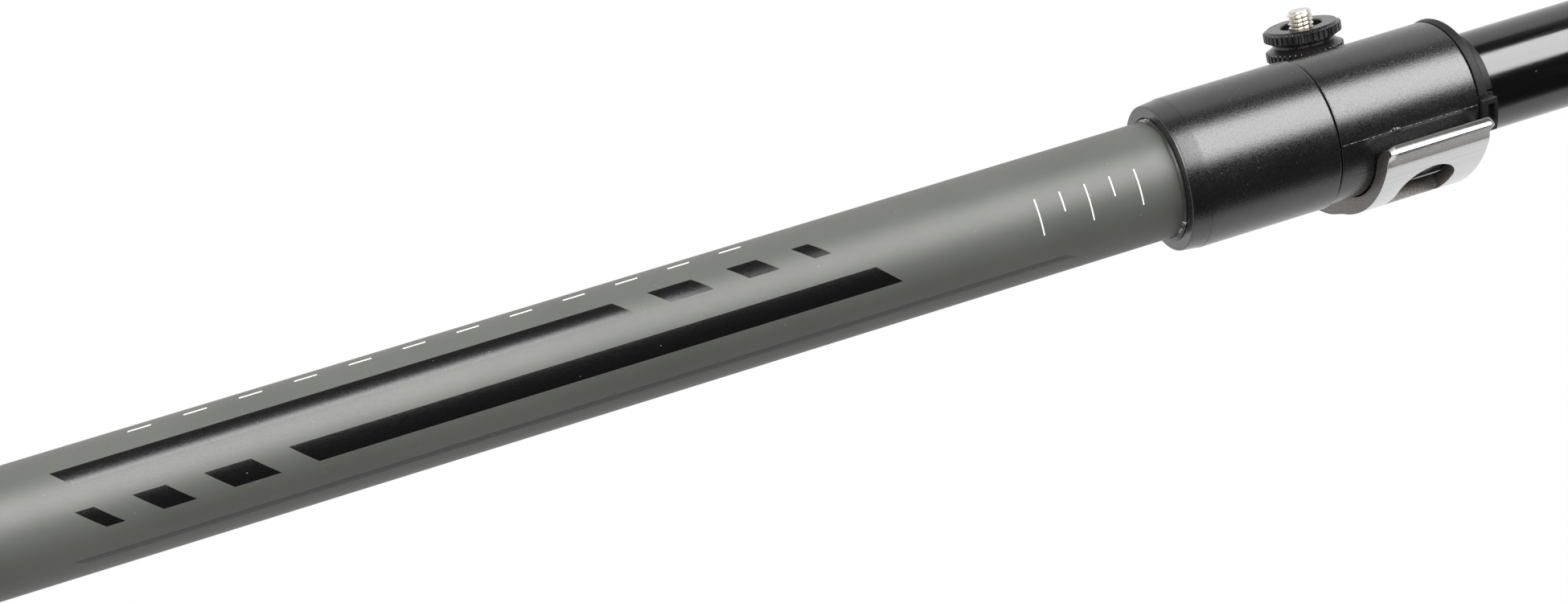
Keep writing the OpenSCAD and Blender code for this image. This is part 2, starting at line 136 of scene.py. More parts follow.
class Nodes:
    """Builds one material's node tree, link by link."""

    def __init__(self, name):
        self.material = bpy.data.materials.new(name)
        self.material.use_nodes = True
        self.tree = self.material.node_tree
        self.shader = self.tree.nodes["Principled BSDF"]
        self.place = self.tree.nodes.new("ShaderNodeTexCoord").outputs["Object"]

    def link(self, value, socket):
        if isinstance(value, bpy.types.NodeSocket):
            self.tree.links.new(value, socket)
        else:
            socket.default_value = value

    def math(self, operation, first, second=0.0, clamp=False):
        node = self.tree.nodes.new("ShaderNodeMath")
        node.operation, node.use_clamp = operation, clamp
        self.link(first, node.inputs[0])
        self.link(second, node.inputs[1])
        return node.outputs[0]

    def vector(self, operation, first, second, output="Vector"):
        node = self.tree.nodes.new("ShaderNodeVectorMath")
        node.operation = operation
        self.link(first, node.inputs[0])
        self.link(second, node.inputs[1])
        return node.outputs[output]

    def dot(self, first, second):
        return self.vector("DOT_PRODUCT", first, second, "Value")

    def split(self, vector):
        node = self.tree.nodes.new("ShaderNodeSeparateXYZ")
        self.link(vector, node.inputs[0])
        return node.outputs

    def angle(self):
        """Degrees about the pole's axis, from the front (-Y) towards the lever's side (+X)."""
        x, y = self.split(self.place)[:2]
        turn = self.math("ARCTAN2", x, self.math("MULTIPLY", y, -1.0))
        return self.math("MULTIPLY", turn, math.degrees(1))

    def noise(self, scale, detail=2.0, stretch=(1, 1, 1), roughness=0.5):
        node = self.tree.nodes.new("ShaderNodeTexNoise")
        self.link(self.vector("MULTIPLY", self.place, stretch), node.inputs["Vector"])
        node.inputs["Scale"].default_value = scale
        node.inputs["Detail"].default_value = detail
        node.inputs["Roughness"].default_value = roughness
        return node.outputs["Fac"]

    def specks(self, scale, radius, share):
        """1 on small round specks. That share of the cells holds one, of the given radius in cells."""
        node = self.tree.nodes.new("ShaderNodeTexVoronoi")
        self.link(self.place, node.inputs["Vector"])
        node.inputs["Scale"].default_value = scale
        chosen = self.math("LESS_THAN", self.split(node.outputs["Color"])["X"], share)
        return self.math("MULTIPLY", self.remap(node.outputs["Distance"], radius, 0.3 * radius), chosen)

    def remap(self, value, low, high, to_low=0.0, to_high=1.0):
        node = self.tree.nodes.new("ShaderNodeMapRange")
        self.link(value, node.inputs["Value"])
        for socket, number in zip(node.inputs[1:5], (low, high, to_low, to_high)):
            socket.default_value = number
        return node.outputs["Result"]

    def mix(self, factor, first, second):
        node = self.tree.nodes.new("ShaderNodeMix")
        node.data_type = "RGBA"
        self.link(factor, node.inputs["Factor"])
        for name, value in (("A", first), ("B", second)):
            socket = next(s for s in node.inputs if s.name == name and s.type == "RGBA")
            self.link(value if isinstance(value, bpy.types.NodeSocket) else (*value, 1), socket)
        return next(s for s in node.outputs if s.type == "RGBA")

    def bump(self, height, distance, strength=1.0):
        node = self.tree.nodes.new("ShaderNodeBump")
        node.inputs["Strength"].default_value = strength
        node.inputs["Distance"].default_value = distance * MM
        self.link(height, node.inputs["Height"])
        self.link(node.outputs["Normal"], self.shader.inputs["Normal"])

    def set(self, **sockets):
        for name, value in sockets.items():
            self.link(value, self.shader.inputs[name.replace("_", " ")])


    def mottled(self, pattern, dark, light, spread=0.2):
        """A colour that follows a pattern between a dark and a light tone."""
        return self.mix(self.remap(pattern, 0.5 - spread, 0.5 + spread), dark, light)


def grained(name, dark, light, rough, grain, depth, metallic=0.0, specular=0.5):
    """A finish mottled between two tones. The grain's size and depth are in millimetres."""
    n = Nodes(name)
    fine = n.noise(1 / (grain * MM), 3)
    n.set(Base_Color=n.mottled(n.noise(60, 3), dark, light), Metallic=metallic)
    n.set(Roughness=n.remap(fine, 0.3, 0.7, *rough), Specular_IOR_Level=specular)
    n.bump(fine, depth)
    return n.material


def dusty(n, base, dust, scale, share):
    """A few small specks of dust over a base colour."""
    speck_radius = 0.12
    return n.mix(n.specks(scale, speck_radius, share), base, dust)


def between(n, value, span):
    """1 where a value lies between the two ends of a span."""
    above = n.math("GREATER_THAN", value, span[0])
    below = n.math("LESS_THAN", value, span[1])
    return n.math("MULTIPLY", above, below)


def any_of(n, masks):
    total = masks[0]
    for mask in masks[1:]:
        total = n.math("MAXIMUM", total, mask)
    return total


# ---------------------------------------------------------------- materials


def black_plastic():
    n = Nodes("black_plastic")
    grain = n.noise(2900, 4, roughness=0.7)
    base = n.mottled(n.noise(70, 3), (0.0025, 0.0025, 0.0025), (0.005, 0.005, 0.005))
    color = dusty(n, base, (0.075, 0.072, 0.068), 700, 0.30)
    rough = n.remap(grain, 0.35, 0.65, 0.15, 0.34)
    n.set(Base_Color=color, Roughness=rough, Specular_IOR_Level=0.8)
    n.bump(grain, 0.030, 0.9)
    return n.material


def adhesive():
    """Dark set adhesive, gone pale and dusty in two smears: below the lever and below the thumb nut."""
    n = Nodes("adhesive")
    smears = ((33, 52), (-112, -84))
    grain = n.noise(1500, 4)
    base = n.mottled(grain, (0.004, 0.004, 0.0035), (0.012, 0.011, 0.010))
    angle = n.angle()
    smeared = any_of(n, [between(n, angle, smear) for smear in smears])
    pale = n.math("MULTIPLY", smeared, n.remap(n.noise(700, 3), 0.46, 0.60))
    color = n.mix(pale, base, (0.30, 0.29, 0.27))
    rough = n.remap(grain, 0.3, 0.7, 0.30, 0.50)
    n.set(Base_Color=color, Roughness=rough, Specular_IOR_Level=0.5)
    n.bump(grain, 0.05)
    return n.material


def strip(n, angle, height, z_span, a_span, slant=0.0):
    """1 inside a slanted-ended bar on the tube: z_span in mm above the collar, a_span in degrees."""
    middle = (a_span[0] + a_span[1]) / 2
    along = n.math("SUBTRACT", height, n.math("MULTIPLY", n.math("SUBTRACT", angle, middle), slant))
    return n.math("MULTIPLY", between(n, along, z_span), between(n, angle, a_span))


def black_marks(n, angle, height):
    """Two rows of slanted bars along the tube and one thin line. Below the collar, z is negative."""
    upper, lower, line = (-57, -40), (-16, 4), (30, 37)
    upper_runs = ((-250, -128), (-120, -110), (-102, -95), (-87, -83))
    lower_runs = ((-246, -242), (-234, -227), (-219, -209), (-201, -70))
    bars = [strip(n, angle, height, run, upper, 0.25) for run in upper_runs]
    bars += [strip(n, angle, height, run, lower, 0.25) for run in lower_runs]
    bars.append(strip(n, angle, height, (-252, -28), line, 0.4))
    return any_of(n, bars)


def white_marks(n, angle, height):
    """Five fine ticks around the tube, long and short in turn, and a row of dashes along it."""
    ticks_from, tick, long_end, short_end = -34, 0.3, 2, -14
    dashes_from, dash, gap = -236, 5, 7
    marks = []
    for i in range(5):
        z = ticks_from + 6 * i
        end = short_end if i % 2 else long_end
        marks.append(strip(n, angle, height, (z, z + tick), (-33, end)))
    for i in range(12):
        z = dashes_from + (dash + gap) * i
        marks.append(strip(n, angle, height, (z, z + dash), (-85, -82.5)))
    return any_of(n, marks)


def grey_paint():
    """Matte grey lacquer with printed bars, made of plain slanted stripes and ticks."""
    n = Nodes("grey_paint")
    angle = n.angle()
    height = n.math("SUBTRACT", n.math("DIVIDE", n.split(n.place)["Z"], MM), COLLAR_Z)
    black = black_marks(n, angle, height)
    white = white_marks(n, angle, height)
    grain = n.noise(3000, 3)
    color = n.mottled(n.noise(45, 3), (0.046, 0.048, 0.043), (0.054, 0.056, 0.050))
    color = n.mix(black, color, (0.002, 0.002, 0.002))
    color = n.mix(white, color, (0.62, 0.62, 0.60))
    color = dusty(n, color, (0.20, 0.20, 0.19), 800, 0.05)
    rough = n.remap(grain, 0.3, 0.7, 0.43, 0.53)
    smoother = n.math("MULTIPLY", black, 0.26)
    n.set(Base_Color=color, Roughness=n.math("SUBTRACT", rough, smoother), Specular_IOR_Level=0.62)
    raised = n.math("ADD", n.math("MULTIPLY", grain, 0.4), n.math("MULTIPLY", black, 0.5))
    n.bump(raised, 0.02, 0.6)
    return n.material


def black_gloss():
    n = Nodes("black_gloss")
    wave = n.noise(240, 2, (1, 1, 0.25))
    base = n.mottled(wave, (0.0012, 0.0012, 0.0014), (0.002, 0.002, 0.0022))
    color = dusty(n, base, (0.08, 0.08, 0.08), 500, 0.08)
    rub = n.noise(900, 2, (1, 1, 0.05))
    n.set(Base_Color=color, Roughness=n.remap(rub, 0.3, 0.7, 0.10, 0.19), Specular_IOR_Level=0.78)
    n.bump(wave, 0.01, 0.5)
    return n.material


def aluminium_masks(n):
    """1 on the lever's sawn ends, on its milled window walls, and on the front and back of its lip, which
    polished_aluminium gives painted shade and a painted reflection.
    """
    facing = n.tree.nodes.new("ShaderNodeNewGeometry").outputs["Normal"]
    sawn = n.remap(n.math("ABSOLUTE", n.split(facing)["Z"]), 0.80, 0.95)
    outward = n.vector("NORMALIZE", n.vector("MULTIPLY", n.place, (1, 1, 0)), (0, 0, 0))
    milled = n.remap(n.math("ABSOLUTE", n.dot(facing, outward)), 0.30, 0.55, 1.0, 0.0)
    on_lip = n.remap(n.angle(), 18.5, 20.0, 1.0, 0.0)
    lip_faces = []
    for way, low in ((LIP_FRONT_FACES, 0.87), (LIP_BACK_FACES, 0.90)):
        toward = n.dot(facing, Vector((*at_angle(1, way), 0)))
        lip_faces.append(n.math("MULTIPLY", n.remap(toward, low, low + 0.05), on_lip))
    return sawn, milled, *lip_faces


def polished_aluminium():
    """Drawn along the pole and polished, with grainy sawn ends and grainy window walls. The sawn ends carry a
    painted reflection of the dark side, and the window walls and the lip's front and back faces carry painted
    shade.
    """
    n = Nodes("polished_aluminium")
    sawn, milled, front, back = aluminium_masks(n)
    lines = n.noise(1600, 3, (1, 1, 0.012))
    grain = n.noise(2600, 3)
    bright = n.mottled(lines, (0.54, 0.54, 0.545), (0.63, 0.63, 0.63), 0.25)
    # Sawn ends: this dark brown tone is a painted reflection of the room's dark side, over real saw grain
    cut = n.mottled(grain, (0.030, 0.024, 0.021), (0.085, 0.068, 0.060))
    # Window walls and other side faces: this darker grey is painted shade, over real milling grain
    wall = n.mottled(grain, (0.11, 0.10, 0.095), (0.24, 0.23, 0.22))
    # Lip front faces: this grey is painted shade from facing the dark side, over real grain
    lip_front_shade = n.mottled(grain, (0.22, 0.215, 0.21), (0.38, 0.375, 0.36))
    # Lip back faces: this darker tone is painted shade
    lip_back_shade = n.mottled(lines, (0.21, 0.21, 0.205), (0.27, 0.27, 0.262), 0.25)
    color = bright
    for mask, tone in ((sawn, cut), (milled, wall), (front, lip_front_shade), (back, lip_back_shade)):
        color = n.mix(mask, color, tone)
    rough_part = any_of(n, [sawn, milled, front])
    smooth = n.remap(lines, 0.25, 0.75, 0.17, 0.27)
    rough = n.math("ADD", smooth, n.math("MULTIPLY", rough_part, 0.25))
    n.set(Base_Color=color, Metallic=1.0, Roughness=rough)
    grit = n.math("MULTIPLY", n.math("MULTIPLY", grain, rough_part), 1.5)
    n.bump(n.math("ADD", lines, grit), 0.008, 0.5)
    return n.material


def glassy(name, color, ior, rough, streak):
    """Clear glass or liquid, faintly uneven in tone and in surface."""
    n = Nodes(name)
    wave = n.noise(streak, 2)
    tint = n.mottled(wave, color, tuple(0.94 * part for part in color))
    n.set(Base_Color=tint, Roughness=n.remap(wave, 0.3, 0.7, rough, rough + 0.03))
    n.set(Transmission_Weight=1.0, IOR=ior)
    n.bump(wave, 0.01, 0.2)
    return n.material


def vial_glass():
    return glassy("vial_glass", (0.96, 0.98, 0.97), 1.5, 0.01, 300)


def vial_liquid():
    return glassy("vial_liquid", (0.72, 0.92, 0.18), 1.33, 0.0, 220)


def vial_bubble():
    return glassy("vial_bubble", (0.94, 0.98, 0.86), 1.05, 0.0, 260)


def dark_nylon():
    dark, light = (0.004, 0.004, 0.004), (0.009, 0.008, 0.008)
    return grained("dark_nylon", dark, light, (0.40, 0.52), 0.5, 0.02, specular=0.24)


def white_nylon():
    dark, light = (0.62, 0.61, 0.57), (0.72, 0.71, 0.68)
    return grained("white_nylon", dark, light, (0.4, 0.55), 0.8, 0.01)


def rubber():
    dark, light = (0.012, 0.012, 0.012), (0.024, 0.023, 0.022)
    return grained("rubber", dark, light, (0.6, 0.8), 0.8, 0.03)


def black_paint():
    dark, light = (0.012, 0.012, 0.012), (0.02, 0.02, 0.02)
    return grained("black_paint", dark, light, (0.36, 0.52), 0.6, 0.02)


def black_anodised():
    dark, light = (0.003, 0.003, 0.003), (0.007, 0.006, 0.006)
    return grained("black_anodised", dark, light, (0.18, 0.30), 0.35, 0.006, specular=0.6)


def bare_aluminium():
    dark, light = (0.62, 0.62, 0.63), (0.74, 0.74, 0.75)
    return grained("bare_aluminium", dark, light, (0.26, 0.38), 0.4, 0.006, metallic=1.0)


def hard_steel():
    dark, light = (0.36, 0.36, 0.37), (0.48, 0.48, 0.49)
    return grained("hard_steel", dark, light, (0.22, 0.36), 0.5, 0.008, metallic=1.0)


def plated_steel():
    dark, light = (0.58, 0.54, 0.46), (0.74, 0.71, 0.64)
    return grained("plated_steel", dark, light, (0.16, 0.30), 0.6, 0.006, metallic=1.0)


MAKERS = {maker.__name__: maker for maker in (
    vial_glass, vial_liquid, vial_bubble, black_plastic, dark_nylon, white_nylon, rubber, adhesive,
    grey_paint, black_paint, black_gloss, black_anodised, polished_aluminium, bare_aluminium,
    hard_steel, plated_steel)}
made = {}


def finish_of(slot):
    if slot not in made:
        made[slot] = MAKERS[slot]()
    return made[slot]


# ---------------------------------------------------------------- mesh helpers


def piece(name, points, faces, slot, body, replaces=(), sharp=30, place=None):
    """A closed piece from points in millimetres."""
    mesh = bpy.data.meshes.new(name)
    if place is not None:
        points = [place @ Vector(p) for p in points]
    mesh.from_pydata([Vector(p) * MM for p in points], [], faces)
    bm = bmesh.new()
    bm.from_mesh(mesh)
    bmesh.ops.recalc_face_normals(bm, faces=bm.faces)
    bm.to_mesh(mesh)
    bm.free()
    obj = bpy.data.objects.new(name, mesh)
    scene.collection.objects.link(obj)
    if slot:
        mesh.materials.append(finish_of(slot))
        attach(obj, body)
        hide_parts(*replaces)
    shade(obj, sharp)
    return obj


def shade(obj, sharp):
    obj.data.shade_smooth()
    obj.data.set_sharp_from_angle(angle=math.radians(sharp))


def settle(obj):
    """Applies an object's modifiers."""
    graph = bpy.context.evaluated_depsgraph_get()
    mesh = bpy.data.meshes.new_from_object(obj.evaluated_get(graph))
    obj.modifiers.clear()
    old = obj.data
    obj.data = mesh
    mesh.name = old.name
    bpy.data.meshes.remove(old)


def combine(obj, others, operation="DIFFERENCE"):
    for other in others:
        step = obj.modifiers.new("step", "BOOLEAN")
        step.operation, step.solver, step.object = operation, "EXACT", other
    settle(obj)
    for other in others:
        bpy.data.objects.remove(other)


def clean(obj, merge, degenerate, flat=None):
    """Merges points closer than merge mm, drops specks of faces, and joins faces within flat degrees."""
    bm = bmesh.new()
    bm.from_mesh(obj.data)
    bmesh.ops.remove_doubles(bm, verts=bm.verts, dist=merge * MM)
    bmesh.ops.dissolve_degenerate(bm, edges=bm.edges, dist=degenerate * MM)
    if flat:
        bmesh.ops.dissolve_limit(bm, angle_limit=math.radians(flat), verts=bm.verts, edges=bm.edges)
    bm.to_mesh(obj.data)
    bm.free()


def break_edges(obj, width):
    """Rounds the sharp edges of a cut piece."""
    clean(obj, 0.01, 0.005, 0.5)
    step = obj.modifiers.new("edges", "BEVEL")
    step.width, step.segments = width * MM, 3
    step.limit_method, step.angle_limit = "ANGLE", math.radians(35)
    settle(obj)
    clean(obj, 0.002, 0.002)
    shade(obj, 24)


def rounded(outline, radius, steps=5):
    """A closed outline with its corners rounded off, and points kept near them for clean shading."""
    result = []
    count = len(outline)
    support, slight_turn, most_of_side = 0.25, math.radians(12), 0.42
    for i in range(count):
        before, here, after = (Vector(outline[(i + k) % count]).to_2d() for k in (-1, 0, 1))
        back, ahead = before - here, after - here
        turn = math.pi - back.angle(ahead)
        on_axis = abs(here.x) < 1e-9
        if turn < slight_turn or on_axis:
            result.append(here)
            continue
        reach = min(radius * math.tan(turn / 2), most_of_side * back.length, most_of_side * ahead.length)
        first, last = here + back.normalized() * reach, here + ahead.normalized() * reach
        if 0.5 * back.length - reach > support:
            result.append(first + back.normalized() * support)
        for k in range(steps + 1):
            t = k / steps
            result.append(first * (1 - t) ** 2 + here * 2 * t * (1 - t) + last * t * t)
        if 0.5 * ahead.length - reach > support:
            result.append(last + ahead.normalized() * support)
    return result


def lathe_data(profile, steps, radius_at=None):
    """Points and faces of a closed profile of (radius, height) turned about Z."""
    points, rows, faces = [], [], []
    for index, (r, z) in enumerate(profile):
        if r < 1e-6:
            rows.append([len(points)] * steps)
            points.append((0, 0, z))
            continue
        rows.append(list(range(len(points), len(points) + steps)))
        for k in range(steps):
            a = math.tau * k / steps
            radius, height = radius_at(index, r, z, a) if radius_at else (r, z)
            points.append((radius * math.sin(a), -radius * math.cos(a), height))
    for i, row in enumerate(rows):
        following = rows[(i + 1) % len(rows)]
        for k in range(steps):
            corners = [row[k], row[(k + 1) % steps], following[(k + 1) % steps], following[k]]
            corners = list(dict.fromkeys(corners))
            if len(corners) > 2:
                faces.append(corners)
    return points, faces


def lathe(name, profile, slot, body, replaces=(), steps=256, radius_at=None, place=None, sharp=30):
    """A closed piece turned about Z. radius_at may move each point of the profile as it goes round."""
    points, faces = lathe_data([tuple(p) for p in profile], steps, radius_at)
    return piece(name, points, faces, slot, body, replaces, sharp, place)


def loft(name, sections, slot=None, body=None, replaces=(), place=None):
    """A closed piece through sections of (outline, height), with the same number of points in each."""
    points, faces = [], []
    count = len(sections[0][0])
    for outline, z in sections:
        points += [(p[0], p[1], z) for p in outline]
    for level in range(len(sections) - 1):
        for k in range(count):
            a, b = level * count + k, level * count + (k + 1) % count
            faces.append((a, b, b + count, a + count))
    faces.append(tuple(range(count)))
    faces.append(tuple(range((len(sections) - 1) * count, len(sections) * count)))
    return piece(name, points, faces, slot, body, replaces, place=place)


def arc(r, start, end):
    """Points about two degrees apart, at radius r."""
    count = max(1, round(abs(end - start) / 2.0))
    return [at_angle(r, start + (end - start) * k / count) for k in range(count + 1)]


def moved(x, y, z):
    return Matrix.Translation((x, y, z))


def turned(degrees, axis):
    return Matrix.Rotation(math.radians(degrees), 4, axis)


def out_at(degrees):
    """Local Z runs out from the pole's axis, at an angle from the front towards +X. Local Y runs up."""
    return turned(degrees, "Z") @ turned(90, "X")


def box_cutter(low, high, turn=0.0):
    """A box that cuts, turned about the pole's axis by turn degrees from the front towards +X."""
    outline = [(low[0], low[1]), (high[0], low[1]), (high[0], high[1]), (low[0], high[1])]
    return loft("cutter", [(outline, low[2]), (outline, high[2])], place=turned(turn, "Z"))


def rod_cutter(r, low, high, place, steps=96):
    outline = [at_angle(r, 360 * k / steps) for k in range(steps)]
    return loft("cutter", [(outline, low), (outline, high)], place=place)


# Along the bolt: local Z runs to -X from the pole's axis
ON_BOLT = moved(0, BOLT_Y, BOLT_Z) @ turned(-90, "Y")

# ---------------------------------------------------------------- pieces


def make_hollow(name, bore_r, rim_r, low, high, corner, slot, body, node, steps=256, place=None):
    """A tube or a ring from height low to height high, with rounded corners. A bore of 0 makes it solid."""
    profile = rounded([(bore_r, low), (rim_r, low), (rim_r, high), (bore_r, high)], corner)
    lathe(name, profile, slot, body, [node], steps, place=place)


def make_outer_tube():
    make_hollow("outer_tube_shell", OUTER_BORE, OUTER_R, tube_low.z, tube_high.z, 0.25,
                "grey_paint", "pole", "outer_tube")


def make_inner_tube():
    make_hollow("inner_tube_shell", INNER_BORE, INNER_R, inner_low.z, inner_high.z, 0.25,
                "black_gloss", "inner", "inner_tube")


def make_collar():
    """A flat mouth at the bottom, a slight taper, a small shoulder, then a straight wall."""
    bore_r, mouth_r, height = OUTER_R + 0.05, COLLAR_R - 0.6, COLLAR_TOP - COLLAR_Z
    mouth = [(bore_r, 0.8), (OUTER_R + 0.8, 0), (mouth_r, 0)]
    taper = [(mouth_r + 0.1, 0.9), (mouth_r + 0.15, 1.3), (mouth_r + 0.45, 4.0), (mouth_r + 0.48, 4.3)]
    shoulder = [(COLLAR_R - 0.02, 4.55), (COLLAR_R, 4.75), (COLLAR_R, 5.1)]
    wall = [(COLLAR_R, height), (bore_r, height)]
    profile = rounded([(r, COLLAR_Z + z) for r, z in mouth + taper + shoulder + wall], 0.40)
    lathe("collar_body", profile, "black_plastic", "pole", ["fixed_collar"])


def make_glue():
    """The bead squeezed out where the tube enters the collar, thicker in some places than in others."""
    top, root_r = GLUE_TOP, OUTER_R + 0.01
    usual, swing, ripple, least, most = 0.62, 0.55, 0.07, 0.12, 1.0
    profile = rounded([(root_r, top - 1.3), (OUTER_R + 0.3, top - 1.25), (OUTER_R + 0.8, top - 0.6),
                       (OUTER_R + 1.2, top - 0.01), (root_r, top - 0.01)], 0.3, 3)

    def uneven(index, r, z, a):
        swell = usual + swing * noise.noise(Vector((2.2 * math.sin(a), 2.2 * math.cos(a), 0.3)))
        swell += ripple * noise.noise(Vector((6 * math.sin(a), 6 * math.cos(a), 4)))
        swell = min(max(swell, least), most)
        return root_r + (r - root_r) * swell, top - (top - z) * swell

    lathe("glue_bead", profile, "adhesive", "pole", ["glue_fillet"], 384, uneven)


def make_clamp_ring():
    """The ring with its two ears at the back, its bore, split, bolt hole, nut seat and cut-away rim."""
    bottom, past = RING_Z + 0.12, 1
    profile = rounded([(0, bottom), (RING_R, bottom), (RING_R, RING_TOP), (0, RING_TOP)], 0.45)
    ring = lathe("clamp_ring_body", profile, "black_plastic", "pole", ["clamp_ring"])

    nut_side_x, cam_side_x, back_y, root_y = 11.7, 14.0, ring_high.y, 11.0
    ears = rounded([(-nut_side_x, root_y), (cam_side_x, root_y),
                    (cam_side_x, back_y), (-nut_side_x, back_y)], 2.0)
    combine(ring, [loft("ears", [(ears, RING_Z + 4.5), (ears, RING_TOP - 3.5)])], "UNION")

    # The bore's facets and the nut's seat stay just clear of faces that they would otherwise share
    bore_turn, seat_clear = Matrix.Rotation(0.007, 4, "Z"), 0.03
    bore = rod_cutter(OUTER_R + 0.1, RING_Z - past, RING_TOP + past, bore_turn, 252)
    split = box_cutter((-1.2, 0, RING_Z - past), (1.2, 60, RING_TOP + past))
    bolt_hole = rod_cutter(3.3, -40, 40, ON_BOLT)
    nut_seat = rod_cutter(NUT_R + 0.3, nut_side_x - seat_clear, 30, ON_BOLT, 128)
    land_z, land_top, land_r, half_w, land_at = RING_Z + 7.1, RING_TOP + past, RING_R - 0.45, 10, 15
    land = rounded([(-half_w, land_z), (half_w, land_z), (half_w, land_top), (-half_w, land_top)], 3.0)
    rim_cut = loft("cutter", [(land, land_r), (land, land_r + 10)], place=out_at(land_at))
    combine(ring, [bore, split, bolt_hole, nut_seat, rim_cut])
    break_edges(ring, 0.22)


def make_parting_flash():
    """The thin ridge of the mould's parting line along the front of the clamp ring, torn at one spot."""
    points, faces = [], []
    count, half, margin = 240, 0.10, 0.6
    burr_z, burr_reach = 13.6, 1.3
    root_r, foot_r = RING_R - 0.25, RING_R + 0.01
    for k in range(count + 1):
        z = RING_Z + margin + k / count * (RING_TOP - RING_Z - 2 * margin)
        burr = math.exp(-((z - RING_Z - burr_z) / burr_reach) ** 4)
        lift = 0.045 + 0.02 * noise.noise(Vector((0, 0, z * 1.3)))
        lift += burr * (0.20 + 0.6 * noise.noise(Vector((3, 0, z * 3.1))))
        width = half * (1 + burr * (5.5 + 3.0 * noise.noise(Vector((5, 0, z * 2.3)))))
        sway = 0.03 * noise.noise(Vector((7, 0, z * 0.5)))
        crest = [(-0.25, RING_R + lift), (0.35, RING_R + lift * 0.9)]
        for side, r in [(-1, root_r), (-1, foot_r), *crest, (1, foot_r), (1, root_r)]:
            across = side * width + sway
            points.append((across, -math.sqrt(r * r - across * across), z))
    around = 6
    for k in range(count):
        for i in range(around):
            a, b = k * around + i, k * around + (i + 1) % around
            faces.append((a, b, b + around, a + around))
    faces += [tuple(range(around)), tuple(range(count * around, (count + 1) * around))]
    piece("parting_flash", points, faces, "black_plastic", "pole")


def make_sleeve():
    """The bush: a split sleeve with relief slots, a conical flange, a lip, and a notched lug at the front."""
    lip_r, cone_top, flange_top = SLEEVE_BORE + 0.95, FLANGE_Z + 1.45, FLANGE_Z + 1.9
    profile = [(SLEEVE_BORE, sleeve_low.z), (OUTER_R, sleeve_low.z), (OUTER_R, FLANGE_Z), (RING_R, FLANGE_Z),
               (FLANGE_R, cone_top), (FLANGE_R - 0.25, flange_top), (lip_r, flange_top), (lip_r, LIP_TOP),
               (SLEEVE_BORE, LIP_TOP)]
    sleeve = lathe("split_bush", rounded(profile, 0.25), "dark_nylon", "pole", ["clamp_sleeve"])

    lug_from, lug_to = -2.6, 24
    lug = rounded(arc(FLANGE_R, lug_from, lug_to) + arc(lip_r - 0.3, lug_to, lug_from), 0.3)
    combine(sleeve, [loft("lug", [(lug, FLANGE_Z + 0.1), (lug, FLANGE_Z + 4)])], "UNION")

    half_w, split_at, notch_at, slots_z = 0.4, -4.6, 8, RING_Z + 2
    cuts = [box_cutter((-half_w, -30, slots_z), (half_w, 0, LIP_TOP + 5), split_at)]
    for turn in (90, 180, 270):
        low, high = (-half_w, -OUTER_R - 1, slots_z), (half_w, -OUTER_R + 3, RING_TOP - 1)
        cuts.append(box_cutter(low, high, turn + split_at))
    notch_low, notch_high = (-2, -FLANGE_R - 1, FLANGE_Z + 1.6), (2, -FLANGE_R + 1.4, FLANGE_Z + 3.3)
    cuts.append(box_cutter(notch_low, notch_high, notch_at))
    combine(sleeve, cuts)
    break_edges(sleeve, 0.12)


def plate_r(a):
    """The lever's outer radius at an angle. It is thinnest near the middle of the plate."""
    thinnest, growth, thinnest_at = 3.1, 0.00105, 50
    return LEVER_IR + thinnest + growth * (a - thinnest_at) ** 2


def cam_r(a):
    """The cam's radius about the pin at an angle. It grows from 30 to 180 degrees, then stays."""
    full, rise, rise_from, rise_to = 5.65, 0.95, 30, 180
    if a > rise_to:
        return full
    return full - rise * (rise_to - max(a, rise_from)) / (rise_to - rise_from)


def lever_outline():
    """The lever's outline in three runs: its inner face, the lip's curl at the front, and all the rest."""
    inner = [at_angle(LEVER_IR, 96 - 2 * k) for k in range(39)]
    hollow = ((0.25, 17), (0.95, 13.4), (1.85, 10), (2.75, 7.54), (3.55, 5.85), (4.25, 4.85), (4.90, 4.35))
    tip = ((5.35, 4.98), (5.85, 5.80), (6.28, 6.62), (6.53, 7.35), (6.62, 8.10), (6.55, 8.90))
    outside = ((5.87, 11.1), (5.14, 13.5), (4.45, 16.1), (4.17, 17.4), (4.04, 18.9))
    curl = [at_angle(LEVER_IR + proud, a) for proud, a in hollow + tip + outside]
    plate = [at_angle(plate_r(21 + 2 * k), 21 + 2 * k) for k in range(39)]
    px, py = PIVOT.x, PIVOT.y
    neck = [(px + 4.6, 8), (px + 4.9, 10), (px + 4.99, 12), (px + 4.99, 15.5), (px + 4.99, py)]
    knuckle = [(px + cam_r(a) * math.cos(math.radians(a)), py + cam_r(a) * math.sin(math.radians(a)))
               for a in range(14, 254, 6)]
    back = [(px - 0.6, py - 5.6), (px - 0.2, py - 9), (px - 0.9, 6)]
    return inner, curl, plate + neck + knuckle + back


def lever_section(pull):
    """The outline with the lip's proud part drawn in by pull mm towards the middle of the lip."""
    inner, curl, rest = lever_outline()
    heart = Vector(at_angle(LEVER_IR + 4.2, 9.5))
    pulled_from, pulled_fully = 1.5, 3.5
    drawn = []
    for p in curl:
        proud = Vector(p).length - LEVER_IR
        share = min(max((proud - pulled_from) / (pulled_fully - pulled_from), 0.0), 1.0)
        away = Vector(p) - heart
        drawn.append(Vector(p) - away.normalized() * pull * share)
    return [Vector(p) for p in inner] + drawn + [Vector(p) for p in rest]


def window_cutter():
    """The finger window: round towards the front, square towards the cam."""
    half_w, middle, depth = 6.9, WINDOW_Z + 0.35, LEVER_IR + 9
    round_end = rod_cutter(half_w, LEVER_IR - 3, depth, moved(0, 0, middle) @ out_at(WINDOW_ROUND_END))
    low, high = (-7.3, -depth, middle - half_w), (2.1, -LEVER_IR + 3, middle + half_w)
    combine(round_end, [box_cutter(low, high, WINDOW_SQUARE_END)], "UNION")
    return round_end


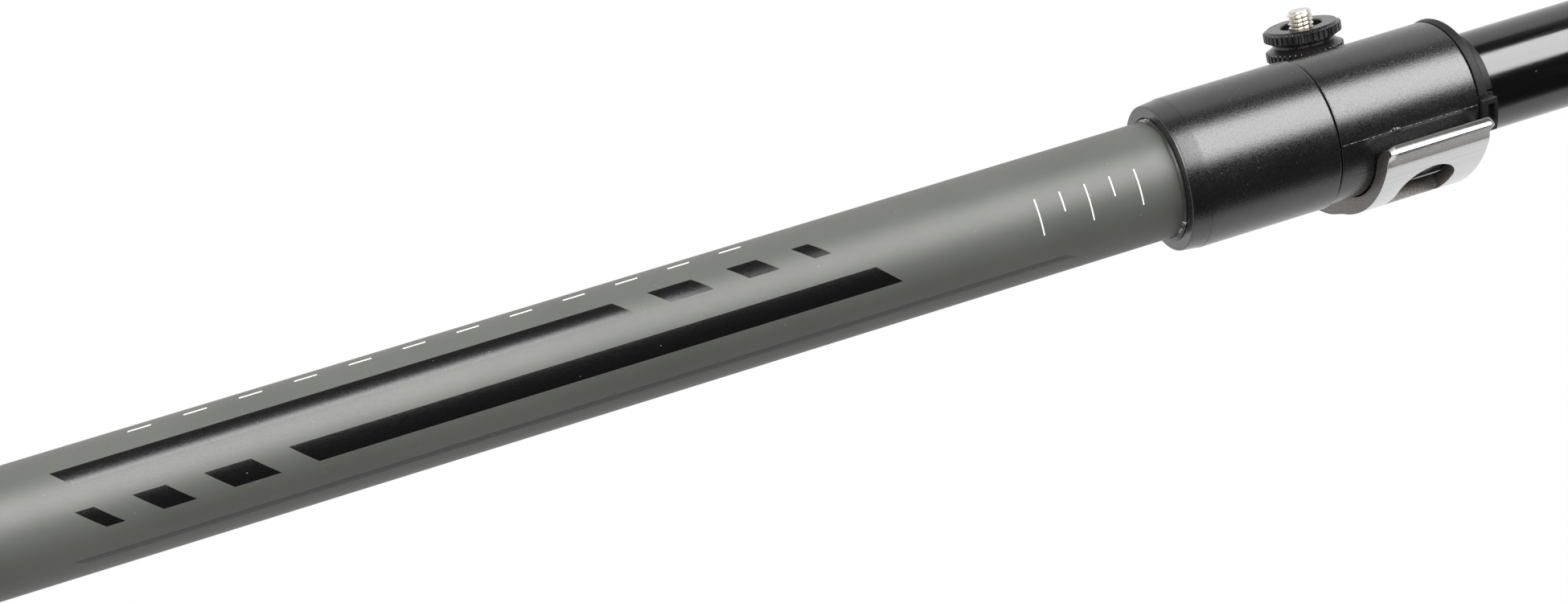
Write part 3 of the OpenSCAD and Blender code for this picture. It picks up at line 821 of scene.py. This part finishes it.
def make_lever():
    low_edge, round_r = 1.1, 1.5
    sections = [(lever_section(0.8), LEVER_Z), (lever_section(0.1), LEVER_Z + low_edge),
                (lever_section(0), LEVER_Z + low_edge + 0.25)]
    for k in range(7):
        t = math.radians(15 * k)
        z = LEVER_TOP - round_r + round_r * math.sin(t)
        sections.append((lever_section(round_r * (1 - math.cos(t))), z))
    lever = loft("lever_plate", sections, "polished_aluminium", "lever", ["lever"])
    px, py, half_slot = PIVOT.x, PIVOT.y, 3.15
    eye_slot = box_cutter((px - 10, py - 4.9, BOLT_Z - half_slot), (px + 10, py + 15, BOLT_Z + half_slot))
    pin_hole = rod_cutter(2.02, LEVER_Z - 1, LEVER_TOP + 1, moved(px, py, 0))
    combine(lever, [window_cutter(), eye_slot, pin_hole])
    break_edges(lever, 0.2)


def make_nut():
    """The double thumb nut: two straight-knurled discs with a grooved waist between them."""
    teeth, per_tooth, depth, groove_half = 40, 10, 0.5, 0.27
    waist_r, bore_r, dish_r, dish_z = NUT_R - 1.9, 3.05, 4.9, NUT_H - 1.4
    mid = NUT_R - 0.5
    inner_disc = [(bore_r, 0), (mid - 0.5, 0), (mid, 0.5), (NUT_R, 0.75), (NUT_R, 2.65), (mid, 2.9)]
    waist = [(waist_r, 3.95), (waist_r, 4.55)]
    outer_disc = [(mid, 5.45), (NUT_R, 5.7), (NUT_R, 7.6), (mid, 7.85), (mid - 0.5, NUT_H)]
    dish = [(dish_r + 0.3, NUT_H), (dish_r, NUT_H - 0.3), (dish_r - 0.1, dish_z), (bore_r, dish_z)]

    def knurl(index, r, z, a):
        if r < NUT_R - 0.01:
            return r, z
        share = (a / math.tau * teeth) % 1.0
        groove = max(0.0, 1 - abs(share - 0.5) / groove_half)
        return r - depth * min(1.0, groove * 1.6), z

    lathe("thumb_nut_body", inner_disc + waist + outer_disc + dish, "black_anodised", "nut", ["thumb_nut"],
          teeth * per_tooth, knurl, ON_BOLT @ moved(0, 0, NUT_X), 26)


def thread_radius(z, a, pitch, r, depth):
    """The radius of a thread with flat crests and roots, at a height and an angle."""
    phase = (z / pitch - a / math.tau) % 1.0
    return r - depth * min(1.0, max(0.0, 1.25 * (1 - abs(2 * phase - 1)) - 0.1))


def make_shank():
    """The bolt's shank: plain near the eye, then a rolled thread to its tip."""
    r, pitch, plain_r = 2.98, 1.0, 2.88
    start, thread_from, tip = -PIVOT.x + 2.2, 4.0, STUD_TIP
    depth, run_in, tip_cone, cone_slope = 0.58, 1.5, 0.9, 0.75
    heights = [start, start + 0.3]
    while heights[-1] < thread_from:
        heights.append(heights[-1] + 1.0)
    while heights[-1] < tip - pitch / 14:
        heights.append(heights[-1] + pitch / 14)
    heights.append(tip)

    def shape(index, radius, z, a):
        if z < thread_from:
            return plain_r, z
        cone = max(0.0, z - (tip - tip_cone))
        fade = min(1.0, (z - thread_from) / run_in)
        return min(thread_radius(z, a, pitch, r, depth * fade), r - cone_slope * cone), z

    profile = [(0, start)] + [(r, z) for z in heights] + [(0, tip)]
    lathe("bolt_shank", profile, "plated_steel", "bolt", ["eye_bolt"], 64, shape, ON_BOLT, 50)


def make_eye():
    """The eye at the bolt's end, which turns on the lever's pin."""
    height = 6.0
    make_hollow("bolt_eye", 2.05, EYE_R, 0, height, 0.5, "plated_steel", "bolt", "eye_bolt", 96,
                moved(PIVOT.x, PIVOT.y, BOLT_Z - height / 2))


def make_pin():
    height = pivot_high.z - pivot_low.z
    make_hollow("lever_pin", 0, 2.0, 0, height, 0.35, "plated_steel", "lever", "pivot_pin", 64,
                moved(PIVOT.x, PIVOT.y, pivot_low.z))


def make_washer():
    height = washer_high.x - washer_low.x
    make_hollow("washer_disc", 3.2, 8, 0, height, 0.15, "plated_steel", "washer", "thrust_washer", 96,
                ON_BOLT @ moved(0, 0, -washer_high.x))


def make_stud():
    """The head's 5/8 inch stud, with its coarse cut thread."""
    r, pitch, depth, lead, count = stud_high.x, 2.309, 1.2, 1.2, 100
    foot, foot_r, seat, tip = stud_low.z, 6.0, stud_low.z + 15, stud_high.z
    step = seat + 0.02
    plain = [(0, foot), (foot_r - 0.4, foot), (foot_r, foot + 0.4), (foot_r, step), (r - depth, step)]
    thread_from = seat + 1.4
    heights = [thread_from + (tip - thread_from) * k / count for k in range(count + 1)]

    def cut(index, radius, z, a):
        if index < len(plain) or radius < r:
            return radius, z
        fade = min(1.0, (z - thread_from) / lead)
        start_cut = lead * (1 - fade)
        end_cut = max(0.0, z - (tip - lead))
        return min(thread_radius(z, a, pitch, r, depth * fade), r - start_cut, r - end_cut), z

    profile = plain + [(r, z) for z in heights] + [(0, tip)]
    lathe("stud_thread", profile, "hard_steel", "inner", ["head_stud"], 96, cut, None, 50)


# ---------------------------------------------------------------- stage and light


def backdrop_material(name, color):
    material = bpy.data.materials.new(name)
    material.use_nodes = True
    shader = material.node_tree.nodes["Principled BSDF"]
    shader.inputs["Base Color"].default_value = (*color, 1)
    shader.inputs["Roughness"].default_value = 0.9
    return material


def make_floor():
    count, radius, height = 96, 1600 * MM, -0.5 * MM
    turns = [math.tau * k / count for k in range(count)]
    points = [(radius * math.cos(a), radius * math.sin(a), height) for a in turns]
    mesh = bpy.data.meshes.new("floor")
    mesh.from_pydata(points, [], [tuple(range(count))])
    mesh.materials.append(backdrop_material("floor_white", (0.86, 0.86, 0.86)))
    floor = bpy.data.objects.new("floor", mesh)
    scene.collection.objects.link(floor)


def make_world():
    """A white studio with a dark side behind the camera. What the camera sees past the object is white."""
    world = bpy.data.worlds.new("studio")
    scene.world = world
    world.use_nodes = True
    tree = world.node_tree
    direction = tree.nodes.new("ShaderNodeTexCoord").outputs["Generated"]
    dot = tree.nodes.new("ShaderNodeVectorMath")
    dot.operation = "DOT_PRODUCT"
    tree.links.new(direction, dot.inputs[0])
    dark_side = math.radians(20)
    dark_from, dark_to, lit, dark = 0.06, 0.22, 1.0, 0.04
    dot.inputs[1].default_value = (-math.sin(dark_side), -math.cos(dark_side), 0)
    ramp = tree.nodes.new("ShaderNodeMapRange")
    ramp.interpolation_type = "SMOOTHSTEP"
    tree.links.new(dot.outputs["Value"], ramp.inputs["Value"])
    for socket, number in zip(ramp.inputs[1:5], (dark_from, dark_to, lit, dark)):
        socket.default_value = number
    seen = tree.nodes.new("ShaderNodeLightPath").outputs["Is Camera Ray"]
    strength = tree.nodes.new("ShaderNodeMath")
    strength.operation = "MAXIMUM"
    tree.links.new(ramp.outputs["Result"], strength.inputs[0])
    tree.links.new(seen, strength.inputs[1])
    back = tree.nodes["Background"]
    back.inputs["Color"].default_value = (1, 1, 1, 1)
    tree.links.new(strength.outputs[0], back.inputs["Strength"])


LIGHT_DEGREES, LIGHT_DISTANCE, LIGHT_WIDTH, LIGHT_RADIANCE = 46.5, 800, 740, 9.0


def softbox(name, length, height):
    """A soft light beside the pole, turned from the front towards -X. Length and height are in mm."""
    data = bpy.data.lights.new(name, "AREA")
    data.shape, data.size, data.size_y = "RECTANGLE", LIGHT_WIDTH * MM, length * MM
    data.energy = LIGHT_RADIANCE * math.pi * (LIGHT_WIDTH * MM) * (length * MM)
    light = bpy.data.objects.new(name, data)
    a = math.radians(LIGHT_DEGREES)
    out = Vector((-math.sin(a), -math.cos(a), 0))
    light.location = out * (LIGHT_DISTANCE * MM) + Vector((0, 0, height * MM))
    up = Vector((0, 0, 1))
    turn = Matrix((up.cross(out), up, out)).transposed()
    light.rotation_euler = turn.to_euler()
    light.visible_camera = False
    scene.collection.objects.link(light)


def make_light():
    """Two softboxes, one above the other. The gap between them is level with the collar."""
    make_world()
    softbox("key", 1000, COLLAR_Z + 600)
    softbox("fill", 750, COLLAR_Z - 440)
    scene.view_settings.view_transform = "Standard"
    scene.view_settings.look = "None"


# ---------------------------------------------------------------- everything, in order

make_camera()
make_outer_tube()
make_inner_tube()
make_collar()
make_glue()
make_clamp_ring()
make_parting_flash()
make_sleeve()
make_lever()
make_nut()
make_shank()
make_eye()
make_pin()
make_washer()
make_stud()
make_floor()
make_light()

slot_of = {row["node"]: row["material_slot"] for row in frame["record"]["subparts"]}
for node, obj in frame["nodes"].items():
    if not obj.hide_render:
        obj.data.materials.clear()
        obj.data.materials.append(finish_of(slot_of[node]))
